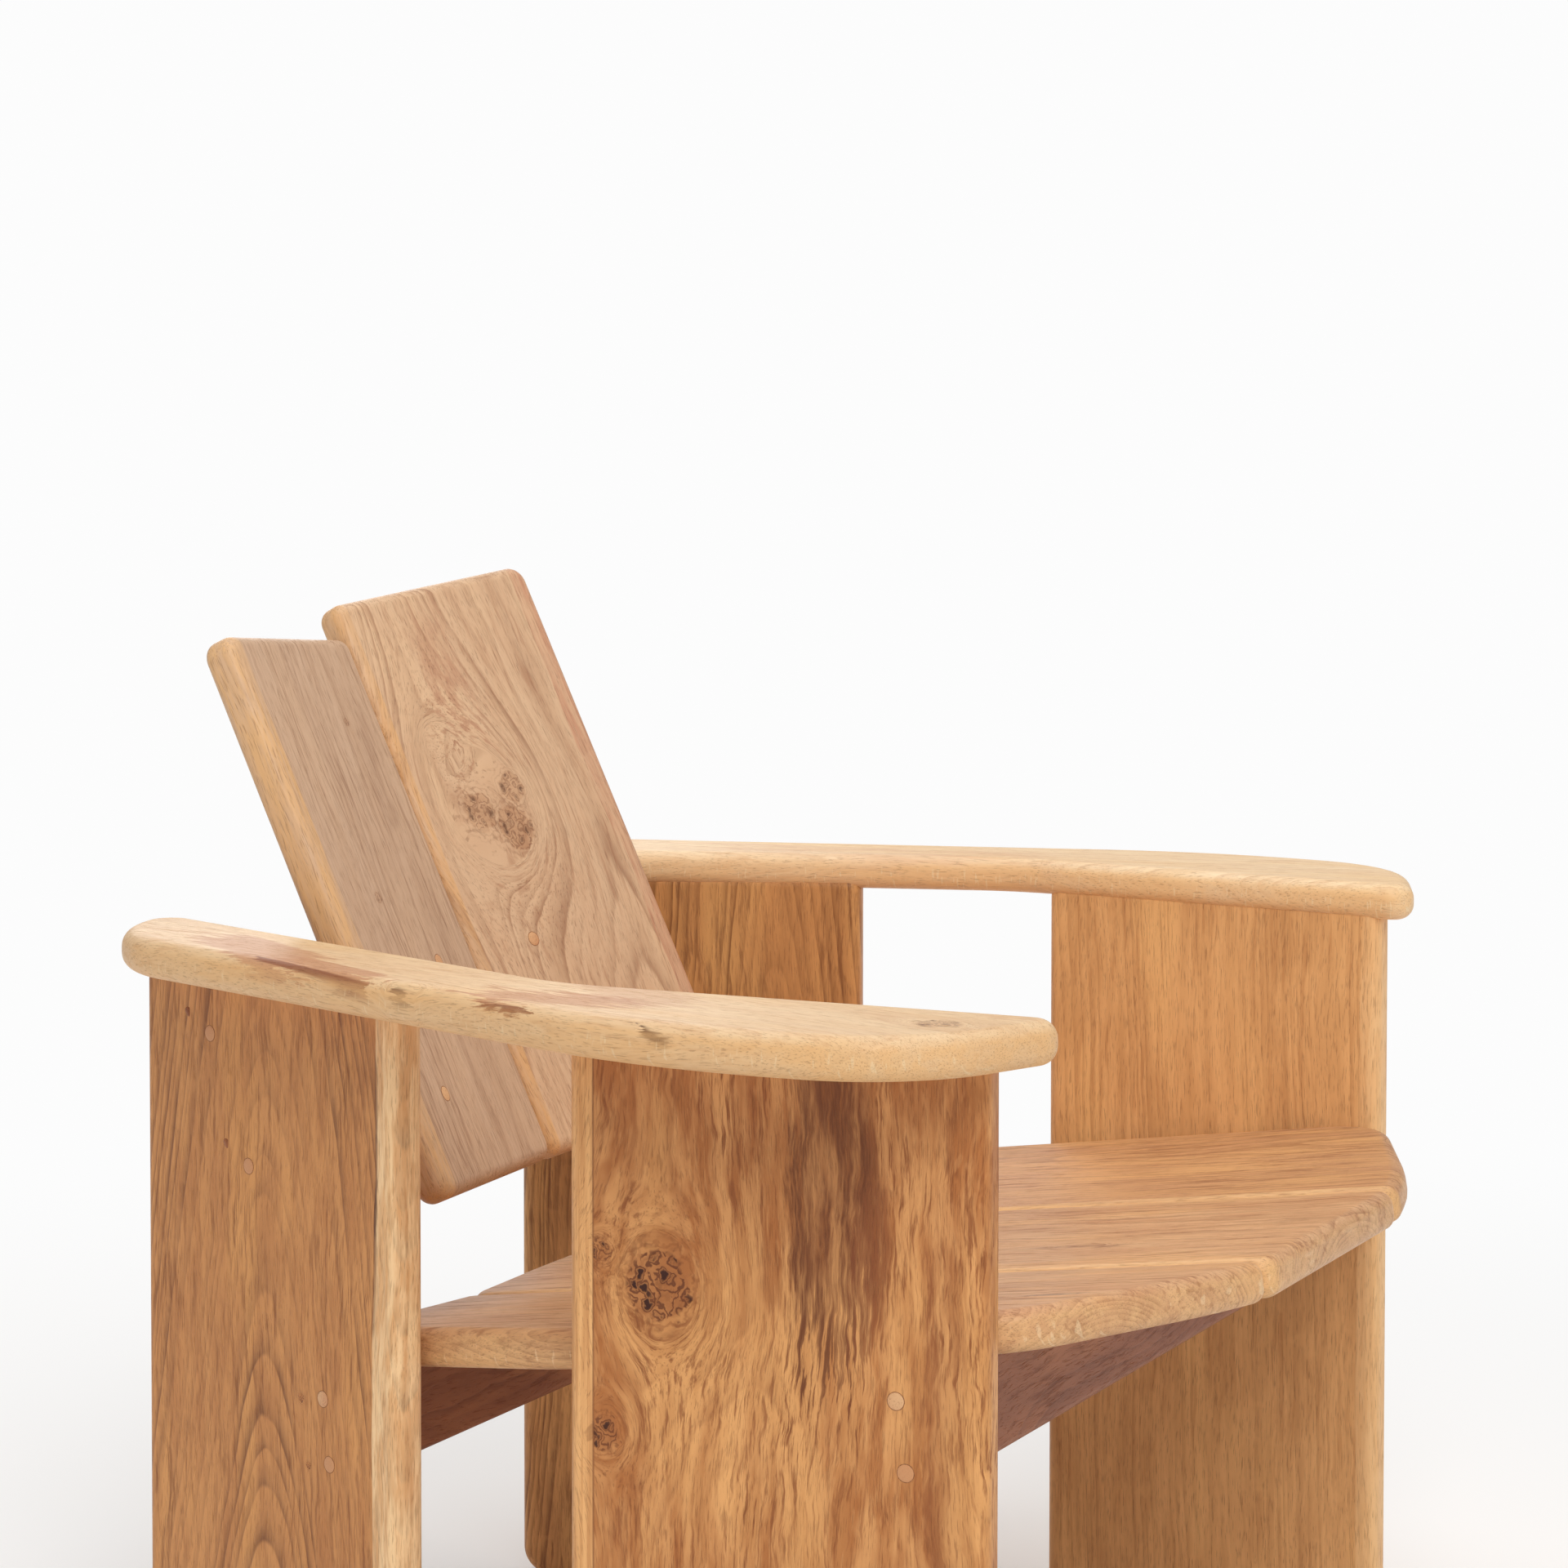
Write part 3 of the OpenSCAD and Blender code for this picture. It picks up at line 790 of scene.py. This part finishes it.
def seat_oak(which):
    """Tan oak with golden rounded joints and rays on the rounded front, which also carries painted light:
    a lighter golden tint where it falls in shade.
    """
    # painted light: the edge tint lightens the rounded front, which lies in shade
    look = dict(light=(218, 172, 128), tan=(202, 150, 108), ring=(142, 92, 58), patch=0.85,
                stroke=(150, 96, 62), stroke_share=0.7, ray_share=0.3, ring_share=0.75,
                stroke_size=(0.24, 0.013), ticks=0.4, edge=((236, 188, 128), 0.4))
    gold = (234, 188, 132)
    if which == "middle":
        look.update(seed=41.0, pith=(30.0, -80.0), knots=((-43, -262, 9, 1.8),),
                    bands=((HALF_MID, 8, 3, -600, 600, gold, 0.7, 2.0),
                           (-HALF_MID, 8, 3, -600, 600, gold, 0.7, 2.0),
                           (-43, 3, 4, -292, -228, (126, 78, 60), 0.7, 12.0)))
    elif which == "left":
        look.update(seed=43.0, light=(216, 164, 112), pith=(150.0, -70.0),
                    bands=((0, 8, 3, -600, 600, gold, 0.8, 2.0),))
    else:
        look.update(seed=47.0, pith=(-140.0, -60.0), knots=((-133, -336, 6, 2.0),),
                    bands=((0, 8, 3, -600, 600, gold, 0.6, 2.0),
                           (-133, 2.5, 3, -352, -318, (96, 76, 70), 0.7, 8.0)))
    return oak("seat oak " + which, seat_place(which), **look)


def frame_oak(name, where, seed):
    """Wavy oak of the aprons and the rails, dark partly in its own colour and partly by painted shade, as
    they sit under the seat and behind the back.
    """
    # painted shade: the low tone darkens and reddens these boards for the shade they hang in
    return oak(name, where, seed=seed, light=(176, 124, 86), tan=(150, 100, 68), ring=(112, 70, 46),
               stroke=(104, 60, 38), tone=(0.81, 0.6, 0.48), wander=70.0, ripple=9.0, spacing=5.5,
               pith=(10.0, -60.0), ring_share=0.6, stroke_share=0.4)


def back_oak(side):
    """The right board is greyish and straight, the left one pinkish with a large burl."""
    where = back_place(side) @ turn(90, "X")
    if side == "right":
        return oak("back oak right", where, seed=53.0, light=(208, 174, 144), tan=(194, 156, 124),
                   ring=(150, 110, 84), stroke=(150, 110, 84), stroke_share=0.6, ring_share=0.55,
                   gold=(216, 180, 146), pith=(-30.0, -150.0), wander=20.0, stroke_size=(0.36, 0.012),
                   bands=((-187, 12, 3, -60, 500, (224, 178, 126), 0.9, 4.0),),
                   burls=((-60, 330, 4, 3.0, 0.5), (-120, 200, 5, 4.0, 0.4)))
    return oak("back oak left", where, seed=59.0, light=(220, 184, 148), tan=(208, 166, 130),
               ring=(140, 90, 60), stroke=(164, 112, 80), ring_share=0.85, stroke_share=0.45,
               gold=(226, 188, 148), pith=(150.0, -90.0), wander=40.0, spacing=6.5,
               knots=((72, 252, 40, 1.15), (50, 300, 16, 1.2)),
               bands=((208, 9, 4, -60, 520, (200, 142, 112), 0.7, 8.0),
                      (3, 6, 2, -60, 520, (224, 172, 114), 0.7, 3.0),
                      (84, 15, 14, 318, 400, (186, 136, 106), 0.6, 30.0)),
               burls=((62, 250, 17, 7.5, 0.5), (92, 232, 19, 7.5, 0.55), (104, 262, 13, 6.5, 0.5)))


# ---------------------------------------------------------------- studio

FLOOR_SHADE, FLOOR_HALF = 0.95, 60.0
FADE = (0.3, 2.2)  # how far from the chair, in metres, the floor turns into the white of the room
ROOM_WHITE = 0.975
ROOM_LIGHT, ROOM_TINT = 0.42, (1.0, 0.985, 0.97, 1.0)

# soft boxes: name, place and target in metres, width in metres, power in watts, tint
SOFT_BOXES = (
    ("key", (-2.2, -1.8, 3.0), (0, 0, 0.35), 2.2, 72, (1.0, 0.985, 0.96)),
    ("top", (0.5, 0.3, 3.4), (0, 0, 0.3), 3.0, 42, (1.0, 0.99, 0.98)),
    ("back", (2.6, 2.4, 2.0), (0, 0, 0.4), 2.0, 22, (1.0, 0.985, 0.96)),
)

LENS, SENSOR = 88.43, 36.0
SHIFT_ACROSS, SHIFT_UP = 0.0535, -0.15
STAND_AT = (-2.3099, -1.2107, 0.9143)
SIGHT_LINE = (0.8790, 0.4769, -0.0394)
FAR_CLIP = 300.0


def floor():
    """A pale matt floor that fades into an even white away from the chair."""
    material, tree, shader = blank("pale studio floor")
    shader.inputs["Base Color"].default_value = grey(FLOOR_SHADE)
    shader.inputs["Roughness"].default_value = 0.9
    shader.inputs["Specular IOR Level"].default_value = 0.0
    texco = tree.nodes.new("ShaderNodeTexCoord")
    away = tree.nodes.new("ShaderNodeVectorMath")
    away.operation = "LENGTH"
    tree.links.new(texco.outputs["Object"], away.inputs[0])
    glow = tree.nodes.new("ShaderNodeEmission")
    glow.inputs["Color"].default_value = grey(ROOM_WHITE)
    blend = tree.nodes.new("ShaderNodeMixShader")
    feed(tree, Num(tree, away.outputs["Value"]).smooth(*FADE), blend.inputs[0])
    tree.links.new(shader.outputs[0], blend.inputs[1])
    tree.links.new(glow.outputs[0], blend.inputs[2])
    tree.links.new(blend.outputs[0], tree.nodes["Material Output"].inputs[0])
    h = FLOOR_HALF
    mesh = bpy.data.meshes.new("floor")
    mesh.from_pydata([(-h, -h, 0), (h, -h, 0), (h, h, 0), (-h, h, 0)], [], [(0, 1, 2, 3)])
    mesh.materials.append(material)
    add("floor", mesh)


def soft_box(name, at, target, size, power, tint):
    lamp = bpy.data.lights.new(name, "AREA")
    lamp.shape, lamp.size, lamp.energy, lamp.color = "DISK", size, power, tint
    holder = add(name, lamp)
    holder.location = at
    holder.rotation_euler = (Vector(target) - Vector(at)).to_track_quat("-Z", "Y").to_euler()


def studio():
    """An even white room, brighter to the eye than to the chair, with soft boxes above it."""
    world = bpy.data.worlds.new("studio")
    bpy.context.scene.world = world
    world.use_nodes = True
    tree = world.node_tree
    lit = tree.nodes["Background"]
    lit.inputs["Color"].default_value = ROOM_TINT
    lit.inputs["Strength"].default_value = ROOM_LIGHT
    seen = tree.nodes.new("ShaderNodeBackground")
    seen.inputs["Color"].default_value = grey(1.0)
    seen.inputs["Strength"].default_value = ROOM_WHITE
    path = tree.nodes.new("ShaderNodeLightPath")
    either = tree.nodes.new("ShaderNodeMixShader")
    tree.links.new(path.outputs["Is Camera Ray"], either.inputs[0])
    tree.links.new(lit.outputs[0], either.inputs[1])
    tree.links.new(seen.outputs[0], either.inputs[2])
    tree.links.new(either.outputs[0], tree.nodes["World Output"].inputs[0])
    for box in SOFT_BOXES:
        soft_box(*box)


def camera():
    """A long lens at three-quarter front right, a little above the back.

    Its shift keeps the uprights nearly upright.
    """
    lens = bpy.data.cameras.new("camera")
    lens.lens, lens.sensor_width = LENS, SENSOR
    lens.shift_x, lens.shift_y = SHIFT_ACROSS, SHIFT_UP
    lens.clip_end = FAR_CLIP
    holder = add("camera", lens)
    holder.location = STAND_AT
    holder.rotation_euler = Vector(SIGHT_LINE).to_track_quat("-Z", "Y").to_euler()
    bpy.context.scene.camera = holder


# ---------------------------------------------------------------- the chair

camera()
for side in ("right", "left"):
    armrest(side, arm_oak(side))
    leg("front", side, front_leg_oak(side))
    leg("rear", side, rear_leg_oak(side))
    back_board(side, back_oak(side))
for which in ("right", "middle", "left"):
    seat_board(which, seat_oak(which))
crosswise = turn(-90, "Z")
for end, seed in (("front", 61.0), ("rear", 67.0)):
    apron(end, frame_oak(end + " apron oak", apron_place(end) @ crosswise, seed))
for which, seed in (("lower", 71.0), ("upper", 73.0)):
    rail(which, frame_oak(which + " rail oak", rail_place(which) @ crosswise, seed))
end_grain = peg_oak()
pegs(end_grain, glue_line())
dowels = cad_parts["seat_dowels"]
dowels.data.materials.clear()
dowels.data.materials.append(end_grain)
floor()
studio()
bpy.context.scene.view_settings.view_transform = "Standard"
